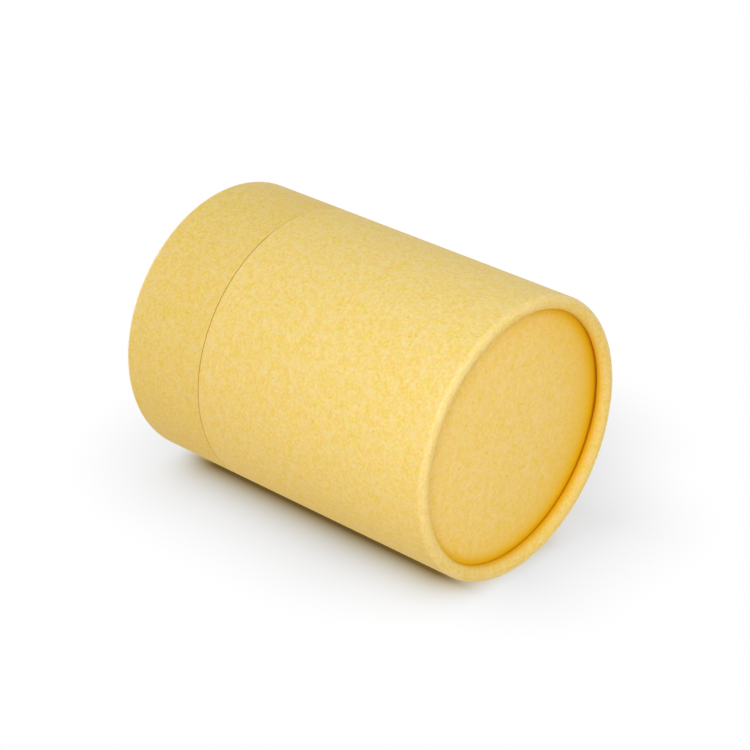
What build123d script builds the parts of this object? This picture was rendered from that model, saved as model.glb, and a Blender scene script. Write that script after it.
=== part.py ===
# Round two-piece kraft board box, closed. A body tube stands on its rolled base edge, a neck
# sleeve is glued inside it, and a lid tube with a rolled top edge slides down over the neck to a
# flush seam. Millimetres. The box's axis is Z, and its base curl stands on z = 0.

import os

from build123d import *

# Overall form
outer_diameter = 80.0
body_height = 80.2  # base curl to the body's mouth
lid_height = 28.7  # lid's mouth to its top curl
seam_gap = 0.1  # hairline between the two cut edges

# Board
tube_wall = 1.2  # wound outer tubes
neck_wall = 1.2  # wound inner sleeve
disc_thickness = 1.6  # grey board disc with a kraft face

# Rolled edges: the wall curls in three bends to a bead, and its cut end comes back to the wall
bend_inside = 0.7  # inner radius of the bends
crest_land = 0.2  # flat ring that the box stands on, between the first two bends
leg_rise = 0.5  # straight stretch inside the bead, between the last two bends
tail_gap = 0.15  # cut end to the tube's wall

# Neck and fits
neck_head_gap = 3.1  # neck's top to the lid's disc
neck_clearance = 0.2  # neck in the two outer tubes: glue line below, slide above
disc_clearance = 0.2  # disc's edge in its tube

# Small edges
mouth_break = 0.2  # cut edges at the seam
neck_break = 0.3  # cut top edge of the neck
disc_break = 0.2  # die-cut edge of a disc

outer_radius = outer_diameter / 2
bore_radius = outer_radius - tube_wall
neck_outer_radius = bore_radius - neck_clearance
disc_radius = bore_radius - disc_clearance

bend_outside = bend_inside + tube_wall
leg_radius = outer_radius - 2 * bend_outside - crest_land
curl_depth = 2 * bend_outside + leg_rise
tail_radius = bore_radius - tail_gap

lid_mouth = body_height + seam_gap
lid_top = lid_mouth + lid_height
lid_disc_floor = lid_top - curl_depth - disc_thickness
neck_floor = curl_depth + disc_thickness
neck_top = lid_disc_floor - neck_head_gap


def curled_wall(mouth, crest, up):
    # Section of a tube wall with its rolled edge. Its outer and inner skins run from the mouth to
    # the crest, round the bead and back along the disc's seat to the cut end. up is 1 where the
    # mouth is above the crest and -1 where it is below.
    seat = crest + up * curl_depth
    inset = up * tube_wall
    with BuildSketch(Plane.XZ) as section:
        with BuildLine():
            outer_skin = FilletPolyline(
                (outer_radius, mouth),
                (outer_radius, crest),
                (leg_radius, crest),
                (leg_radius, seat),
                (tail_radius, seat),
                radius=bend_outside,
            )
            inner_skin = FilletPolyline(
                (bore_radius, mouth),
                (bore_radius, crest + inset),
                (leg_radius + tube_wall, crest + inset),
                (leg_radius + tube_wall, seat - inset),
                (tail_radius, seat - inset),
                radius=bend_inside,
            )
            Line(outer_skin @ 0, inner_skin @ 0)
            Line(outer_skin @ 1, inner_skin @ 1)
        make_face()
        mouth_corners = section.vertices().sort_by_distance((outer_radius, mouth))[:2]
        chamfer(mouth_corners, length=mouth_break)
    return section.sketch


with BuildPart() as body_tube:
    add(curled_wall(body_height, 0, 1))
    revolve(axis=Axis.Z)

with BuildPart() as base_disc:
    with BuildSketch(Plane.XY.offset(curl_depth)):
        Circle(disc_radius)
    extrude(amount=disc_thickness)
    chamfer(base_disc.edges().filter_by(GeomType.CIRCLE), length=disc_break)

with BuildPart() as neck_tube:
    with BuildSketch(Plane.XY.offset(neck_floor)):
        Circle(neck_outer_radius)
        Circle(neck_outer_radius - neck_wall, mode=Mode.SUBTRACT)
    extrude(amount=neck_top - neck_floor)
    chamfer(neck_tube.faces().sort_by(Axis.Z)[-1].edges(), length=neck_break)

with BuildPart() as lid_tube:
    add(curled_wall(lid_mouth, lid_top, -1))
    revolve(axis=Axis.Z)

# The lid's disc is the same blank as the base's
with BuildPart() as lid_disc:
    with Locations((0, 0, lid_disc_floor - curl_depth)):
        add(base_disc.part)

os.makedirs("parts", exist_ok=True)

body_tube.part.label = "body_tube"
export_step(body_tube.part, "parts/body_tube.step")

base_disc.part.label = "base_disc"
export_step(base_disc.part, "parts/base_disc.step")

neck_tube.part.label = "neck_tube"
export_step(neck_tube.part, "parts/neck_tube.step")

lid_tube.part.label = "lid_tube"
export_step(lid_tube.part, "parts/lid_tube.step")

lid_disc.part.label = "lid_disc"
export_step(lid_disc.part, "parts/lid_disc.step")
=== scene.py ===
import math

import bmesh
import bpy
import numpy as np
from mathutils import Matrix, Vector


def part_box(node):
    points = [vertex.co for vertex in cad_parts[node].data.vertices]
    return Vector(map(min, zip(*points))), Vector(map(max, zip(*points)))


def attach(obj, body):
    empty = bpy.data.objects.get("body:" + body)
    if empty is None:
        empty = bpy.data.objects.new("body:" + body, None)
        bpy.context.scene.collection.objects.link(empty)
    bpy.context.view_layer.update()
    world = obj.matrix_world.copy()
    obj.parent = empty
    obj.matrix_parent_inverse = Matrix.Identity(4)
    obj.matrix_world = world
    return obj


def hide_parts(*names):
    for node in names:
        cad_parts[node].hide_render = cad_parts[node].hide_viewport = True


# Round kraft board box with rolled end edges and a lift-off lid. Metres, +Z up along the tube,
# base roll on z = 0.

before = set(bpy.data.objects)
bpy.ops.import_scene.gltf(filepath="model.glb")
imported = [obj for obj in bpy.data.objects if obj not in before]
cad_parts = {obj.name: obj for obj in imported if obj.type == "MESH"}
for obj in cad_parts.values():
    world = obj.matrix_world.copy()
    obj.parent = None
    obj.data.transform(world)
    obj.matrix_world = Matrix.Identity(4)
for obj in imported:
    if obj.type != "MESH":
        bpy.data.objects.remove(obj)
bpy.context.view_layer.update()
mm = 0.001
print("frame: nodes", sorted(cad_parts))

# Measures that come from the frame
bodyLow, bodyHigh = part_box("body_tube")
lidLow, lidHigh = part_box("lid_tube")
baseDiscLow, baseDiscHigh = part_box("base_disc")
lidDiscLow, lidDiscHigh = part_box("lid_disc")
neckLow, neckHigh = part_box("neck_tube")
outerRadius = bodyHigh.x
boxHeight = lidHigh.z
rollDepth = baseDiscLow.z  # from the crest of a rolled edge to its disc


# Surfaces

lathe = {
    "turns": 512,  # steps round the axis
    "bendSteps": 12,  # steps in each rounded corner of a section
    "poleReach": 1e-6,  # points this near to the axis become one pole
}
turnAngle = np.linspace(0, 2 * math.pi, lathe["turns"], endpoint=False)
perCorner = lathe["bendSteps"] + 1  # points in each rounded corner
midCorner = lathe["bendSteps"] // 2  # the point halfway round it


def roundedLoop(corners, radii):
    # Closed outline with every corner rounded by an arc. The arc's centre lies on the corner's
    # bisector at radius / sin(half corner), and its points turn evenly from one side to the other.
    corners = np.asarray(corners, float)
    radii = np.asarray(radii, float)[:, None]
    back = np.roll(corners, 1, 0) - corners
    ahead = np.roll(corners, -1, 0) - corners
    back /= np.linalg.norm(back, axis=1, keepdims=True)
    ahead /= np.linalg.norm(ahead, axis=1, keepdims=True)
    bisector = back + ahead
    bisector /= np.linalg.norm(bisector, axis=1, keepdims=True)
    half = np.arccos(np.sum(back * ahead, 1, keepdims=True)) / 2
    centre = corners + bisector * radii / np.sin(half)
    start = corners + back * radii / np.tan(half) - centre
    end = corners + ahead * radii / np.tan(half) - centre
    sweep = (math.pi - 2 * half)[:, :, None]
    t = np.linspace(0, 1, perCorner)[None, :, None]
    arcs = np.sin((1 - t) * sweep) * start[:, None] + np.sin(t * sweep) * end[:, None]
    return (centre[:, None] + arcs / np.sin(sweep)).reshape(-1, 2)


def sectionNormals(section):
    # Outward normals of a closed section that runs down its outer side: tangent turned by 90 degrees
    along = np.roll(section, -1, 0) - np.roll(section, 1, 0)
    across = np.stack([-along[:, 1], along[:, 0]], 1)
    return across / np.linalg.norm(across, axis=1, keepdims=True)


def cornerZones(outline, corners, slots):
    # Material slot of each step of a rounded outline: it changes halfway round the given corners
    changes = np.array(corners) * perCorner + midCorner
    return np.array(slots)[np.searchsorted(changes, np.arange(len(outline)), side="right")]


def addTurned(name, sections, flat=False, closed=True, zones=None, materials=(), wearAndShade=None):
    # Surface of revolution. sections holds one (radius, height) outline for each step of the turn,
    # and the point at angle a is (radius cos a, radius sin a, height). UVs are in metres: the way
    # round and the way along the outline, or plain x and y on a flat piece. zones gives the material
    # slot of each step of the outline, and wearAndShade has values for its points, of burnish and of
    # painted shade.
    turns, count = sections.shape[:2]
    angle = turnAngle[:, None]
    radius, height = sections[..., 0], sections[..., 1]
    points = np.stack([radius * np.cos(angle), radius * np.sin(angle), height], 2)

    i = np.arange(turns)[:, None]
    j = np.arange(count if closed else count - 1)[None, :]
    iNext, jNext = (i + 1) % turns, (j + 1) % count
    corners = np.stack(np.broadcast_arrays(
        i * count + j, i * count + jNext, iNext * count + jNext, iNext * count + j), 2)
    if flat:
        uv = points.reshape(-1, 3)[corners][..., :2]
    else:
        step = np.linalg.norm(np.diff(sections[0], axis=0, append=sections[0][:1]), axis=1)
        along = np.concatenate([[0], np.cumsum(step)])
        arc = 2 * math.pi * outerRadius / turns
        u = np.stack(np.broadcast_arrays(i * arc, i * arc, (i + 1) * arc, (i + 1) * arc), 2)
        v = np.stack(np.broadcast_arrays(along[j], along[j + 1], along[j + 1], along[j]), 2)
        uv = np.stack(np.broadcast_arrays(u, v), 3)

    mesh = bpy.data.meshes.new(name)
    mesh.from_pydata(points.reshape(-1, 3), [], corners.reshape(-1, 4))
    skin = mesh.uv_layers.new(name="skin")
    skin.data.foreach_set("uv", uv.astype(np.float32).ravel())
    for material in materials:
        mesh.materials.append(material)
    if zones is not None:
        index = np.broadcast_to(zones[None, :corners.shape[1]], corners.shape[:2])
        mesh.polygons.foreach_set("material_index", index.astype(np.int32).ravel())
    for label, values in (wearAndShade or {}).items():
        spread = np.broadcast_to(values, (turns, count))
        marks = mesh.attributes.new(label, "FLOAT", "POINT")
        marks.data.foreach_set("value", spread.astype(np.float32).ravel())
    mesh.polygons.foreach_set("use_smooth", np.ones(len(mesh.polygons), bool))
    mesh.update()
    piece = bpy.data.objects.new(name, mesh)
    bpy.context.scene.collection.objects.link(piece)
    return piece


def mergePoles(piece):
    # The points on the axis become one vertex at each pole
    work = bmesh.new()
    work.from_mesh(piece.data)
    poles = [v for v in work.verts if v.co.xy.length < lathe["poleReach"]]
    bmesh.ops.remove_doubles(work, verts=poles, dist=lathe["poleReach"])
    work.to_mesh(piece.data)
    work.free()


# Materials

def linearColour(hexCode):
    # sRGB hex to linear RGBA
    srgb = np.array([int(hexCode[k:k + 2], 16) for k in (1, 3, 5)]) / 255
    linear = np.where(srgb <= 0.04045, srgb / 12.92, ((srgb + 0.055) / 1.055) ** 2.4)
    return (*linear, 1)


def addNode(tree, kind, inputs=None, links=None, **settings):
    # One node with its settings, its constant inputs and its incoming links. A colour mix has its
    # two colours on inputs 6 and 7, and the mix on output 2.
    node = tree.nodes.new(kind)
    for key, value in settings.items():
        setattr(node, key, value)
    for socket, value in (inputs or {}).items():
        node.inputs[socket].default_value = value
    for socket, source in (links or {}).items():
        tree.links.new(source, node.inputs[socket])
    return node


def newMaterial(name):
    material = bpy.data.materials.new(name)
    material.use_nodes = True
    material.node_tree.nodes.clear()
    return material, material.node_tree


paperIor = 1.5
kraftGrain = {
    # tones of pulp: size, offset and detail of the noise, its values where the tone starts and is
    # full, and the most of it
    "amber": (2.1 * mm, 0.31, 2.0, 0.3, 0.7, 1.0),  # drift between straw and amber pulp
    "tan": (2.0 * mm, 0.17, 2.0, 0.35, 0.75, 0.8),  # patches of redder pulp
    "cloud": (0.8 * mm, 0.0, 2.0, 0.35, 0.75, 0.8),  # pulp clouds, seen as fine pale mottling
    "fleck": (1.1 * mm, 0.53, 1.0, 0.7, 0.85, 0.5),  # dark fibre bundles
    # noise drawn out round the tube: length, width and distortion
    "fibre": (1.6 * mm, 0.2 * mm, 0.6),  # real fibres are about 0.03 mm wide, drawn coarser to show
    "wrinkle": (3.5 * mm, 0.9 * mm, 1.0),
    "drawnDetail": 2.0,
    # the noise where pale fibres and the paler wrinkle ridges start and are full, and the most of
    # them;
    # the ridges are partly rubbed wear and partly a painted highlight
    "fibreShare": (0.45, 0.75, 0.4),
    "rubHighlightShare": (0.3, 0.7, 0.55),
    "toothDeep": 0.03 * mm,  # relief of the fibres
    "toothStrength": 0.35,
    "wrinkleDeep": 0.08 * mm,
    "wrinkleStrength": 0.6,
    "burnish": 0.42,  # roughness that a crest has lost
    "sheenRoughness": 0.4,
}


def kraftPaper(name, straw, amber, tan, pale, fleck, bouncedTone, creviceShade, rubbedHighlight, roughness, gloss,
               sheen):
    # Unbleached kraft paper: matte, drifting between three tints of pulp, with pale clouds, short
    # fibres and a few dark flecks. Rolled crests are burnished and wrinkled; their wrinkle ridges
    # are paler, partly rubbed wear and partly a painted highlight. Towards a crease the colour turns
    # golden yellow, a painted warm bounce light, and in the crease itself brown, a painted shade.
    material, tree = newMaterial(name)
    place = addNode(tree, "ShaderNodeTexCoord")

    def pulpShare(size, offset, detail, low, high, most):
        # Share of one tone of pulp, in patches of that size
        moved = addNode(tree, "ShaderNodeMapping", {"Location": (offset, offset, offset)},
                        {"Vector": place.outputs["Object"]})
        noise = addNode(tree, "ShaderNodeTexNoise", {"Scale": 1 / size, "Detail": detail},
                        {"Vector": moved.outputs[0]})
        return addNode(tree, "ShaderNodeMapRange", {1: low, 2: high, 3: 0.0, 4: most},
                       {0: noise.outputs["Fac"]}).outputs[0]

    def drawnOut(length, width, distortion):
        # Noise drawn out round the tube
        drawn = addNode(tree, "ShaderNodeMapping", {"Scale": (1 / length, 1 / width, 1)},
                        {"Vector": place.outputs["UV"]})
        return addNode(tree, "ShaderNodeTexNoise",
                       {"Scale": 1.0, "Detail": kraftGrain["drawnDetail"], "Distortion": distortion},
                       {"Vector": drawn.outputs[0]}).outputs["Fac"]

    fibre = drawnOut(*kraftGrain["fibre"])
    low, high, most = kraftGrain["fibreShare"]
    fibreShare = addNode(tree, "ShaderNodeMapRange", {1: low, 2: high, 3: 0.0, 4: most},
                         {0: fibre}).outputs[0]
    crest = addNode(tree, "ShaderNodeAttribute", attribute_name="crest").outputs["Fac"]
    wrinkle = addNode(tree, "ShaderNodeMath", {}, {0: drawnOut(*kraftGrain["wrinkle"]), 1: crest},
                      operation="MULTIPLY").outputs[0]
    # Paler wrinkle ridges on the crests: partly rubbed wear, partly a painted highlight
    low, high, most = kraftGrain["rubHighlightShare"]
    rubHighlightShare = addNode(tree, "ShaderNodeMapRange", {1: low, 2: high, 3: 0.0, 4: most},
                       {0: wrinkle}).outputs[0]
    # painted crease shade: 0 is clean, 1 the golden painted bounce light, 2 the brown painted shade
    # in the crevice
    creaseShade = addNode(tree, "ShaderNodeAttribute", attribute_name="creaseShade").outputs["Fac"]
    bounceShare = addNode(tree, "ShaderNodeMapRange", {1: 0.0, 2: 1.0}, {0: creaseShade}).outputs[0]
    creviceShadeShare = addNode(tree, "ShaderNodeMapRange", {1: 1.0, 2: 2.0}, {0: creaseShade}).outputs[0]

    colour = addNode(tree, "ShaderNodeMix", {6: linearColour(straw), 7: linearColour(amber)},
                     {0: pulpShare(*kraftGrain["amber"])}, data_type="RGBA")
    layers = (
        (tan, pulpShare(*kraftGrain["tan"])),
        (pale, pulpShare(*kraftGrain["cloud"])),
        (pale, fibreShare),
        (fleck, pulpShare(*kraftGrain["fleck"])),
        # paler wrinkle ridges: rubbed wear and a painted highlight
        (rubbedHighlight, rubHighlightShare),
        # painted warm bounce light and painted shade towards and in the crease
        (bouncedTone, bounceShare),
        (creviceShade, creviceShadeShare),
    )
    for tone, share in layers:
        colour = addNode(tree, "ShaderNodeMix", {7: linearColour(tone)},
                         {0: share, 6: colour.outputs[2]}, data_type="RGBA")

    rough = addNode(tree, "ShaderNodeMapRange",
                    {1: 0.0, 2: 1.0, 3: roughness, 4: roughness - kraftGrain["burnish"]}, {0: crest})
    tooth = addNode(tree, "ShaderNodeBump",
                    {"Strength": kraftGrain["toothStrength"], "Distance": kraftGrain["toothDeep"]},
                    {"Height": fibre})
    wrinkled = addNode(tree, "ShaderNodeBump",
                       {"Strength": kraftGrain["wrinkleStrength"],
                        "Distance": kraftGrain["wrinkleDeep"]},
                       {"Height": wrinkle, "Normal": tooth.outputs[0]})
    shader = addNode(tree, "ShaderNodeBsdfPrincipled",
                     {"IOR": paperIor, "Specular IOR Level": gloss, "Sheen Weight": sheen,
                      "Sheen Roughness": kraftGrain["sheenRoughness"]},
                     {"Base Color": colour.outputs[2], "Roughness": rough.outputs[0],
                      "Normal": wrinkled.outputs[0]})
    addNode(tree, "ShaderNodeOutputMaterial", {}, {"Surface": shader.outputs[0]})
    return material


boardGrain = {
    "pulp": 0.5 * mm,
    "pulpDetail": 3.0,
    "ply": 0.3 * mm,  # from one ring to the next
    "plyContrast": 0.25,
    "plyLevel": 0.3,
    "toothDeep": 0.05 * mm,
    "toothStrength": 0.5,
    "roughness": 0.92,
}


def rawBoard(name, core, ply):
    # Cut edge of wound board: bare grey-brown pulp with the plies as fine rings
    material, tree = newMaterial(name)
    place = addNode(tree, "ShaderNodeTexCoord")
    pulp = addNode(tree, "ShaderNodeTexNoise",
                   {"Scale": 1 / boardGrain["pulp"], "Detail": boardGrain["pulpDetail"]},
                   {"Vector": place.outputs["Object"]})
    split = addNode(tree, "ShaderNodeSeparateXYZ", {}, {0: place.outputs["UV"]})
    rings = addNode(tree, "ShaderNodeMath", {1: 2 * math.pi / boardGrain["ply"]},
                    {0: split.outputs[1]}, operation="MULTIPLY")
    wave = addNode(tree, "ShaderNodeMath", {}, {0: rings.outputs[0]}, operation="SINE")
    mixed = addNode(tree, "ShaderNodeMath",
                    {1: boardGrain["plyContrast"], 2: boardGrain["plyLevel"]},
                    {0: wave.outputs[0]}, operation="MULTIPLY_ADD")
    share = addNode(tree, "ShaderNodeMath", {}, {0: mixed.outputs[0], 1: pulp.outputs["Fac"]},
                    operation="ADD", use_clamp=True)
    colour = addNode(tree, "ShaderNodeMix", {6: linearColour(core), 7: linearColour(ply)},
                     {0: share.outputs[0]}, data_type="RGBA")
    tooth = addNode(tree, "ShaderNodeBump",
                    {"Strength": boardGrain["toothStrength"], "Distance": boardGrain["toothDeep"]},
                    {"Height": share.outputs[0]})
    shader = addNode(tree, "ShaderNodeBsdfPrincipled",
                     {"Roughness": boardGrain["roughness"], "IOR": paperIor},
                     {"Base Color": colour.outputs[2], "Normal": tooth.outputs[0]})
    addNode(tree, "ShaderNodeOutputMaterial", {}, {"Surface": shader.outputs[0]})
    return material


bodyKraft = kraftPaper("kraft_paper_body", straw="#EAD59C", amber="#E6CB3A", tan="#F1C36C",
                       pale="#F7E192", fleck="#C0963F", bouncedTone="#E6BD10", creviceShade="#DE9600",
                       rubbedHighlight="#FBE8B4", roughness=0.78, gloss=0.3, sheen=0.06)
lidKraft = kraftPaper("kraft_paper_lid", straw="#E6CF92", amber="#E2C632", tan="#EBBE68",
                      pale="#F2DB86", fleck="#BE9238", bouncedTone="#E6BD10", creviceShade="#DE9600",
                      rubbedHighlight="#FAE6AC", roughness=0.78, gloss=0.3, sheen=0.06)
discKraft = kraftPaper("kraft_paper_disc", straw="#F4DCA4", amber="#EED348", tan="#F9CC7C",
                       pale="#FEE69C", fleck="#C79D4B", bouncedTone="#F0C400", creviceShade="#DE9600",
                       rubbedHighlight="#FBE8B4", roughness=0.8, gloss=0.12, sheen=0.0)
linerKraft = kraftPaper("kraft_paper_liner", straw="#DFC07E", amber="#E3B96C", tan="#E0B478",
                        pale="#E8CA8C", fleck="#B58C45", bouncedTone="#DAB264", creviceShade="#E09408",
                        rubbedHighlight="#E8CA8C", roughness=0.85, gloss=0.3, sheen=0.06)
boardEdge = rawBoard("raw_board_edge", core="#B08A24", ply="#CCA43A")
print("materials:", len(bpy.data.materials))


# Rolled tubes

roll = {
    "wall": 1.2 * mm,
    "bendInside": 0.7 * mm,  # inner radius of the bends
    "lastOutside": 1.15 * mm,  # outer and inner radius of the last bend, pressed on the disc
    "lastInside": 0.3 * mm,
    "crestLand": 0.2 * mm,  # flat ring on the crest
    "tailGap": 0.15 * mm,  # cut end to the tube's wall
    "tailRound": 0.1 * mm,
    "slack": 0.55 * mm,  # most that the roll falls short of its disc
    "slackSide": 220.0,  # degrees round the axis
    "slackPower": 6,  # a higher power keeps the slack nearer to that side
    "burnishReach": 1.5,  # a crest is burnished down to here, in outer radii of its bends
    "burnishFade": 0.5,  # and fades out over this much of its inner flank
    # painted bounce light and shade in the crease, by the depth below the crest, on the inner flank
    "creaseShadeDepth": (0.1 * mm, 1.8 * mm, 2.8 * mm, 4.4 * mm),
    "creaseShadeTone": (0, 0.25, 1, 2),
}
seam = {
    "mouthRound": 0.16 * mm,
    "mouthBack": 0.025 * mm,  # each mouth is cut this much short
    "tightRound": 0.04 * mm,  # rounding where the two mouths meet most closely
    "tightReach": 0.04 * mm,  # and how far each mouth reaches out there
    "tightSide": 170.0,  # degrees round the axis
    "tightWidth": 37.0,  # degrees to either side
}
lap = {
    "depth": 0.07 * mm,  # step at the paper's overlap
    "width": 11 * mm,  # the overlap fades out over this width
    "edge": 0.25 * mm,  # width of the step itself
    "bodySide": 245.5,  # degrees round the axis
    "lidSide": 258.5,
}
bendOutside = roll["bendInside"] + roll["wall"]
bore = outerRadius - roll["wall"]
paperSide, rawEdge, linerSide = 0, 1, 2  # material slots of a tube


def rolledSection(mouth, crest, depth, mouthRound):
    # Closed section of a wall with its rolled edge, down the outer skin from the mouth, round the
    # bead to the cut end on the disc's seat, and back along the inner skin
    up = math.copysign(1, mouth - crest)
    leg = outerRadius - 2 * bendOutside - roll["crestLand"]
    tail = bore - roll["tailGap"]
    seat = crest + up * depth
    inset = up * roll["wall"]
    corners = [
        (outerRadius, mouth), (outerRadius, crest), (leg, crest), (leg, seat), (tail, seat),
        (tail, seat - inset), (leg + roll["wall"], seat - inset),
        (leg + roll["wall"], crest + inset), (bore, crest + inset), (bore, mouth),
    ]
    radii = [
        mouthRound, bendOutside, bendOutside, roll["lastOutside"], roll["tailRound"],
        roll["tailRound"], roll["lastInside"], roll["bendInside"], roll["bendInside"], mouthRound,
    ]
    return roundedLoop(corners, radii)


def rolledTube(name, mouth, crest, lapSide, paper):
    # The roll is slack on one side and the mouth is tight on another, so each section is a mix of
    # a full, a slack and a tight one by cosines of the angle. The paper's overlap is a small step
    # that fades out.
    up = math.copysign(1, mouth - crest)
    back, reach = mouth - up * seam["mouthBack"], mouth + up * seam["tightReach"]
    full = rolledSection(back, crest, rollDepth, seam["mouthRound"])
    slack = rolledSection(back, crest, rollDepth - roll["slack"], seam["mouthRound"])
    tight = rolledSection(reach, crest, rollDepth, seam["tightRound"])
    # raw across the mouth, from corner 9 to 0, and across the cut end, from 4 to 5
    zones = cornerZones(full, [0, 4, 5, 9], [rawEdge, paperSide, rawEdge, linerSide, rawEdge])

    # The burnish fades with the depth below the crest and along the inner flank
    outside = (zones == paperSide).astype(float)
    depth = np.abs(full[:, 1] - crest)
    pastCrest = outerRadius - bendOutside - full[:, 0]  # inwards from the first bend
    burnish = (np.clip(roll["burnishReach"] - depth / bendOutside, 0, 1)
               * np.clip(1 - pastCrest / (roll["burnishFade"] * bendOutside), 0, 1))
    # Painted bounce light and shade towards the crease, on the inner flank past the first bend
    creaseShade = (pastCrest > 0) * np.interp(depth, roll["creaseShadeDepth"], roll["creaseShadeTone"])
    wearAndShade = {"crest": outside * burnish, "creaseShade": outside * creaseShade}

    share = (0.5 + 0.5 * np.cos(turnAngle - math.radians(roll["slackSide"]))) ** roll["slackPower"]
    least = math.cos(math.radians(seam["tightWidth"]))
    towards = np.cos(turnAngle - math.radians(seam["tightSide"]))
    closed = np.sqrt(np.clip((towards - least) / (1 - least), 0, 1))
    sections = (full + share[:, None, None] * (slack - full)
                + closed[:, None, None] * (tight - full))
    fromLap = np.mod(turnAngle - math.radians(lapSide), 2 * math.pi) * outerRadius
    step = np.clip(fromLap / lap["edge"], 0, 1) * np.clip(1 - fromLap / lap["width"], 0, 1)
    inward = -lap["depth"] * step[:, None] * outside[None, :]

    if mouth < crest:  # a lid is drawn upwards, so its outline is reversed
        sections, inward = sections[:, ::-1], inward[:, ::-1]
        wearAndShade = {label: values[::-1] for label, values in wearAndShade.items()}
        zones = np.roll(zones[::-1], -1)
    normals = sectionNormals(sections[0])
    sections = sections + inward[..., None] * normals[None]
    return addTurned(name, sections, zones=zones, wearAndShade=wearAndShade,
                     materials=(paper, boardEdge, linerKraft))


bodyTube = rolledTube("body_shell", bodyHigh.z, bodyLow.z, lap["bodySide"], bodyKraft)
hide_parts("body_tube")
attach(bodyTube, "body")

lidTube = rolledTube("lid_shell", lidLow.z, lidHigh.z, lap["lidSide"], lidKraft)
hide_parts("lid_tube")
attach(lidTube, "lid")
print("tubes:", len(bodyTube.data.polygons), "+", len(lidTube.data.polygons), "faces")


# Discs

disc = {
    "edgeRound": 0.2 * mm,
    "rings": 28,  # steps across the painted shade
    "firstRing": 0.1,  # the first one, as a share of the painted shade's radius
    "bounceTo": 36.1 * mm,  # the painted bounce light and shade deepen from the middle to the roll
    "creviceTo": 37.0 * mm,
    "bouncePower": 5,  # a higher power keeps the painted shade nearer to the roll
    "bounceShift": 6.0 * mm,  # it is wider on one side
    "bounceSide": 82.0,  # degrees round the axis, where it is narrower
    "bounceBandFrom": 33.2 * mm,  # a band of painted shade along the roll
    "bounceBandTo": 35.5 * mm,
}


def boardDisc(name, low, high):
    # Flat round blank: out from the axis, down the edge and back, with the edge rounded
    edge = roundedLoop([(0, high.z), (high.x, high.z), (high.x, low.z), (0, low.z)],
                       [0, disc["edgeRound"], disc["edgeRound"], 0])
    across = np.linspace(disc["firstRing"], 1, disc["rings"]) * disc["bounceTo"]
    across = np.append(across, disc["creviceTo"])
    above = np.stack([across, np.full(len(across), high.z)], 1)
    below = np.stack([across[::-1], np.full(len(across), low.z)], 1)
    outline = np.concatenate([[[0, high.z]], above, edge[perCorner:3 * perCorner], below,
                              [[0, low.z]]])
    sections = np.broadcast_to(outline, (lathe["turns"],) + outline.shape)

    # The painted bounce light and shade grow as a power of the distance from a point off the axis,
    # and again across the band
    side = np.cos(turnAngle[:, None] - math.radians(disc["bounceSide"]))
    shift = disc["bounceShift"]
    away = np.sqrt(outline[:, 0] ** 2 + shift ** 2 - 2 * outline[:, 0] * shift * side)
    creaseBounce = np.clip(away / (disc["bounceTo"] + shift), 0, 1) ** disc["bouncePower"]
    rimBounce = np.interp(outline[:, 0], [disc["bounceBandFrom"], disc["bounceBandTo"]], [0, 1])
    creaseBounce = 1 - (1 - creaseBounce) * (1 - rimBounce)
    creviceShade = np.interp(outline[:, 0], [disc["bounceTo"], disc["creviceTo"]], [0, 1])
    piece = addTurned(name, sections, flat=True, closed=False, materials=(discKraft,),
                      wearAndShade={"creaseShade": np.maximum(creaseBounce, 2 * creviceShade)})
    mergePoles(piece)
    return piece


baseDisc = boardDisc("base_board", baseDiscLow, baseDiscHigh)
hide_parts("base_disc")
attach(baseDisc, "body")

lidDisc = boardDisc("lid_board", lidDiscLow, lidDiscHigh)
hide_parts("lid_disc")
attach(lidDisc, "lid")
print("discs:", len(baseDisc.data.polygons), "+", len(lidDisc.data.polygons), "faces")


# Neck

neck = {"wall": 1.2 * mm, "topRound": 0.3 * mm, "footRound": 0.1 * mm}


def neckSleeve(name, low, high):
    # Straight sleeve: down its outside, across its foot, up its inside. Its top edge is raw.
    inside = high.x - neck["wall"]
    outline = roundedLoop([(high.x, high.z), (high.x, low.z), (inside, low.z), (inside, high.z)],
                          [neck["topRound"], neck["footRound"], neck["footRound"], neck["topRound"]])
    zones = cornerZones(outline, [0, 3], [rawEdge, paperSide, rawEdge])
    sections = np.broadcast_to(outline, (lathe["turns"],) + outline.shape)
    return addTurned(name, sections, zones=zones, materials=(linerKraft, boardEdge))


neckTube = neckSleeve("neck_sleeve", neckLow, neckHigh)
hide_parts("neck_tube")
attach(neckTube, "body")
print("neck:", len(neckTube.data.polygons), "faces")


# Stage: the box stands on a white ground. The main view has it lying on its side, so a white table
# also touches its side. Both floors show from their front only, cast no shadow and add no diffuse
# light.

stage = {
    "tableTurn": 240.0,  # degrees from -Y to the table's upward direction
    "reach": 1.5,  # half of a floor's width
    "shadeTint": (1.0, 1.3, 2.0),  # powers of red, green and blue, so that deep shade is brown
    "softPower": 1.5,  # fall of the soft shades
}
turn = math.radians(stage["tableTurn"])
tableUp = Vector((math.sin(turn), -math.cos(turn), 0))
tableNear = Vector((-math.cos(turn), -math.sin(turn), 0))
axisUp = Vector((0, 0, 1))
boxCentre = Vector((0, 0, boxHeight / 2))

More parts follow.
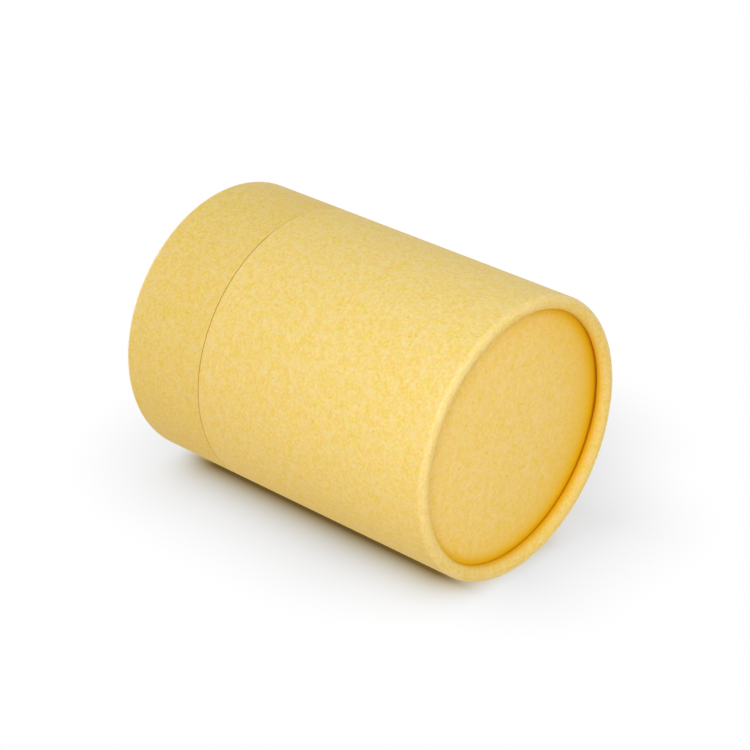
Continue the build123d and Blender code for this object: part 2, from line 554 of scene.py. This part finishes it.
# Shade of the box on each floor, in radii of the tube: a dark one by the contact, which is a ring
# on the ground and a line on the table, and soft ones round a rectangle. Each soft one has its
# ranges across and along, its depth and its reach.
groundShade = {
    "measure": "LENGTH",  # distance from the middle of the contact
    "along": tableUp,
    "deep": 0.8,  # the most of the dark shade
    "edge": 0.93,  # a full shadow would end here
    "fall": 0.1,  # and the shade falls off by this length
    "ends": ((-9.0, -8.0), (8.0, 9.0)),  # where it starts and stops: far out, as a ring has no ends
    "soft": (((-1.4, 0.42), (-1.0, 1.0), 0.17, 1.0),),
}
tableShade = {
    "measure": "DOT_PRODUCT",  # distance from the line of the contact
    "along": axisUp,
    "deep": 0.8,
    "edge": 0.37,
    "fall": 0.126,
    "ends": ((-0.08, 0.41), (2.47, 2.88)),
    "soft": (((-1.22, 0.0), (1.2, 2.3), 0.425, 1.53), ((-0.89, 0.0), (-0.02, 2.2), 0.175, 0.9)),
}


def shadedPaper(name, shade):
    # White paper with the box's shade on it: exp(-(away - edge) / fall) by the contact, and soft
    # ones of depth (1 - gap / reach) ^ softPower at a gap from their rectangles. Clear from behind.
    material, tree = newMaterial(name)
    place = addNode(tree, "ShaderNodeTexCoord")
    radii = addNode(tree, "ShaderNodeVectorMath", {"Scale": 1 / outerRadius},
                    {0: place.outputs["Object"]}, operation="SCALE")
    across = addNode(tree, "ShaderNodeVectorMath", {1: tableNear}, {0: radii.outputs[0]},
                     operation="DOT_PRODUCT")
    along = addNode(tree, "ShaderNodeVectorMath", {1: shade["along"]}, {0: radii.outputs[0]},
                    operation="DOT_PRODUCT")

    spread = addNode(tree, "ShaderNodeVectorMath", {1: tableNear}, {0: radii.outputs[0]},
                     operation=shade["measure"])
    away = addNode(tree, "ShaderNodeMath", {}, {0: spread.outputs["Value"]}, operation="ABSOLUTE")
    falling = addNode(tree, "ShaderNodeMath",
                      {1: -1 / shade["fall"], 2: shade["edge"] / shade["fall"]},
                      {0: away.outputs[0]}, operation="MULTIPLY_ADD")
    fading = addNode(tree, "ShaderNodeMath", {}, {0: falling.outputs[0]}, operation="EXPONENT")
    dark = addNode(tree, "ShaderNodeMath", {1: shade["deep"]}, {0: fading.outputs[0]},
                   operation="MINIMUM")
    (startFrom, startTo), (stopFrom, stopTo) = shade["ends"]
    start = addNode(tree, "ShaderNodeMapRange", {1: startFrom, 2: startTo, 3: 0.0, 4: 1.0},
                    {0: along.outputs["Value"]}, interpolation_type="SMOOTHSTEP")
    stop = addNode(tree, "ShaderNodeMapRange", {1: stopFrom, 2: stopTo, 3: 1.0, 4: 0.0},
                   {0: along.outputs["Value"]}, interpolation_type="SMOOTHSTEP")
    ends = addNode(tree, "ShaderNodeMath", {}, {0: start.outputs[0], 1: stop.outputs[0]},
                   operation="MULTIPLY")
    contact = addNode(tree, "ShaderNodeMath", {}, {0: dark.outputs[0], 1: ends.outputs[0]},
                      operation="MULTIPLY")
    left = addNode(tree, "ShaderNodeMath", {0: 1.0}, {1: contact.outputs[0]}, operation="SUBTRACT")
    tinted = [addNode(tree, "ShaderNodeMath", {1: power}, {0: left.outputs[0]}, operation="POWER")
              for power in stage["shadeTint"]]
    colour = addNode(tree, "ShaderNodeCombineXYZ", {},
                     {k: part.outputs[0] for k, part in enumerate(tinted)})

    plan = addNode(tree, "ShaderNodeCombineXYZ", {},
                   {0: along.outputs["Value"], 1: across.outputs["Value"]})
    for softAcross, softAlong, depth, reach in shade["soft"]:
        low, high = np.array([softAlong, softAcross]).T
        centred = addNode(tree, "ShaderNodeVectorMath", {1: (*(low + high) / 2, 0)},
                          {0: plan.outputs[0]}, operation="SUBTRACT")
        folded = addNode(tree, "ShaderNodeVectorMath", {}, {0: centred.outputs[0]},
                         operation="ABSOLUTE")
        past = addNode(tree, "ShaderNodeVectorMath", {1: (*(high - low) / 2, 0)},
                       {0: folded.outputs[0]}, operation="SUBTRACT")
        outside = addNode(tree, "ShaderNodeVectorMath", {1: (0, 0, 0)}, {0: past.outputs[0]},
                          operation="MAXIMUM")
        gap = addNode(tree, "ShaderNodeVectorMath", {}, {0: outside.outputs[0]}, operation="LENGTH")
        nearness = addNode(tree, "ShaderNodeMath", {1: -1 / reach, 2: 1.0},
                           {0: gap.outputs["Value"]}, operation="MULTIPLY_ADD", use_clamp=True)
        rounded = addNode(tree, "ShaderNodeMath", {1: stage["softPower"]},
                          {0: nearness.outputs[0]}, operation="POWER")
        soft = addNode(tree, "ShaderNodeMath", {1: -depth, 2: 1.0}, {0: rounded.outputs[0]},
                       operation="MULTIPLY_ADD")
        colour = addNode(tree, "ShaderNodeVectorMath", {},
                         {0: colour.outputs[0], "Scale": soft.outputs[0]}, operation="SCALE")

    side = addNode(tree, "ShaderNodeNewGeometry")
    paper = addNode(tree, "ShaderNodeEmission", {"Strength": 1.0}, {"Color": colour.outputs[0]})
    clear = addNode(tree, "ShaderNodeBsdfTransparent")
    mixed = addNode(tree, "ShaderNodeMixShader", {},
                    {0: side.outputs["Backfacing"], 1: paper.outputs[0], 2: clear.outputs[0]})
    addNode(tree, "ShaderNodeOutputMaterial", {}, {"Surface": mixed.outputs[0]})
    return material


def addFloor(name, centre, right, ahead, material):
    # Flat square: centre plus or minus reach along its two directions, front along right x ahead
    signs = ((-1, -1), (1, -1), (1, 1), (-1, 1))
    corners = [centre + stage["reach"] * (a * right + b * ahead) for a, b in signs]
    mesh = bpy.data.meshes.new(name)
    mesh.from_pydata(corners, [], [(0, 1, 2, 3)])
    mesh.materials.append(material)
    floor = bpy.data.objects.new(name, mesh)
    bpy.context.scene.collection.objects.link(floor)
    floor.visible_diffuse = False
    floor.visible_transmission = False
    floor.visible_shadow = False
    return floor


ground = addFloor("ground", Vector((0, 0, 0)), Vector((1, 0, 0)), Vector((0, 1, 0)),
                  shadedPaper("white_paper_ground", groundShade))
table = addFloor("table", boxCentre - outerRadius * tableUp, axisUp, tableNear,
                 shadedPaper("white_paper_table", tableShade))
print("stage:", ground.name, "and", table.name)


# Light: a white room, a soft box just above the camera, one past the lid's end and one low behind
# the box. The directions are those of the main view, with the table below.

lamps = {
    # name: yaw from the base's outward axis and lift from the table in degrees, distance, size,
    # and brightness on a white card
    "key": (47.93, 30.5, 0.5, 0.2, 0.4),
    "overLid": (180.0, 0.0, 0.7, 0.4, 0.3),
    "behind": (-90.0, -36.2, 0.7, 0.3, 0.38),
}
room = {
    "level": 0.69,
    "above": "#FFFFFF",
    "below": "#FFE280",  # the room's light is warmer from below
    "backdrop": "#FFFFFF",  # what is seen of the room, also in gloss
}


def stageDirection(yaw, lift):
    # Unit direction from the box: yaw turns from the base's outward axis to the near side, lift
    # rises from the table
    yaw, lift = math.radians(yaw), math.radians(lift)
    flat = -math.cos(yaw) * axisUp + math.sin(yaw) * tableNear
    return (math.cos(lift) * flat + math.sin(lift) * tableUp).normalized()


def facingFrom(target, out, distance):
    # Placement at a distance from the target along out, with -Z on the target and tableUp upward
    right = tableUp.cross(out).normalized()
    turned = Matrix((right, out.cross(right), out)).transposed()
    return Matrix.Translation(target + distance * out) @ turned.to_4x4()


for name, (yaw, lift, distance, size, level) in lamps.items():
    light = bpy.data.lights.new(name, "AREA")
    light.size = size
    light.energy = level * math.pi ** 2 * distance ** 2  # power that gives a white card this level
    lamp = bpy.data.objects.new(name, light)
    lamp.visible_camera = False
    lamp.matrix_world = facingFrom(boxCentre, stageDirection(yaw, lift), distance)
    bpy.context.scene.collection.objects.link(lamp)

world = bpy.data.worlds.new("white_room")
bpy.context.scene.world = world
world.use_nodes = True
worldTree = world.node_tree
worldTree.nodes.clear()
sky = addNode(worldTree, "ShaderNodeTexCoord")
height = addNode(worldTree, "ShaderNodeVectorMath", {1: tableUp}, {0: sky.outputs["Generated"]},
                 operation="DOT_PRODUCT")
share = addNode(worldTree, "ShaderNodeMapRange", {1: -1.0, 2: 1.0}, {0: height.outputs["Value"]})
tone = addNode(worldTree, "ShaderNodeMix",
               {6: linearColour(room["below"]), 7: linearColour(room["above"])},
               {0: share.outputs[0]}, data_type="RGBA")
path = addNode(worldTree, "ShaderNodeLightPath")
seen = addNode(worldTree, "ShaderNodeMath", {},
               {0: path.outputs["Is Camera Ray"], 1: path.outputs["Is Glossy Ray"]},
               operation="MAXIMUM")
seenToo = addNode(worldTree, "ShaderNodeMath", {},
                  {0: seen.outputs[0], 1: path.outputs["Is Transmission Ray"]},
                  operation="MAXIMUM")
roomLight = addNode(worldTree, "ShaderNodeBackground", {"Strength": room["level"]},
                    {"Color": tone.outputs[2]})
backdrop = addNode(worldTree, "ShaderNodeBackground",
                   {"Color": linearColour(room["backdrop"]), "Strength": 1.0})
shown = addNode(worldTree, "ShaderNodeMixShader", {},
                {0: seenToo.outputs[0], 1: roomLight.outputs[0], 2: backdrop.outputs[0]})
addNode(worldTree, "ShaderNodeOutputWorld", {}, {"Surface": shown.outputs[0]})
print("light:", len(lamps), "lamps in a", world.name)


# Camera

camera = {
    "lens": 120.0,
    "clipStart": 10 * mm,
    "yaw": 47.93,  # degrees from the base's outward axis
    "lookDown": 28.52,  # degrees above the table
    "distance": 688 * mm,
    "aimHeight": 53.84 * mm,  # along the tube from its base
    "aimNear": -2.1 * mm,  # from the axis towards the near side
    "aimLift": -0.6 * mm,  # from the axis away from the table
}
cameraData = bpy.data.cameras.new("camera")
cameraData.lens = camera["lens"]
cameraData.clip_start = camera["clipStart"]
cameraObject = bpy.data.objects.new("camera", cameraData)
aim = camera["aimHeight"] * axisUp + camera["aimNear"] * tableNear + camera["aimLift"] * tableUp
out = stageDirection(camera["yaw"], camera["lookDown"])
cameraObject.matrix_world = facingFrom(aim, out, camera["distance"])
bpy.context.scene.collection.objects.link(cameraObject)
bpy.context.scene.camera = cameraObject
bpy.context.scene.view_settings.view_transform = "Standard"
print("camera at", [round(x, 4) for x in cameraObject.location])
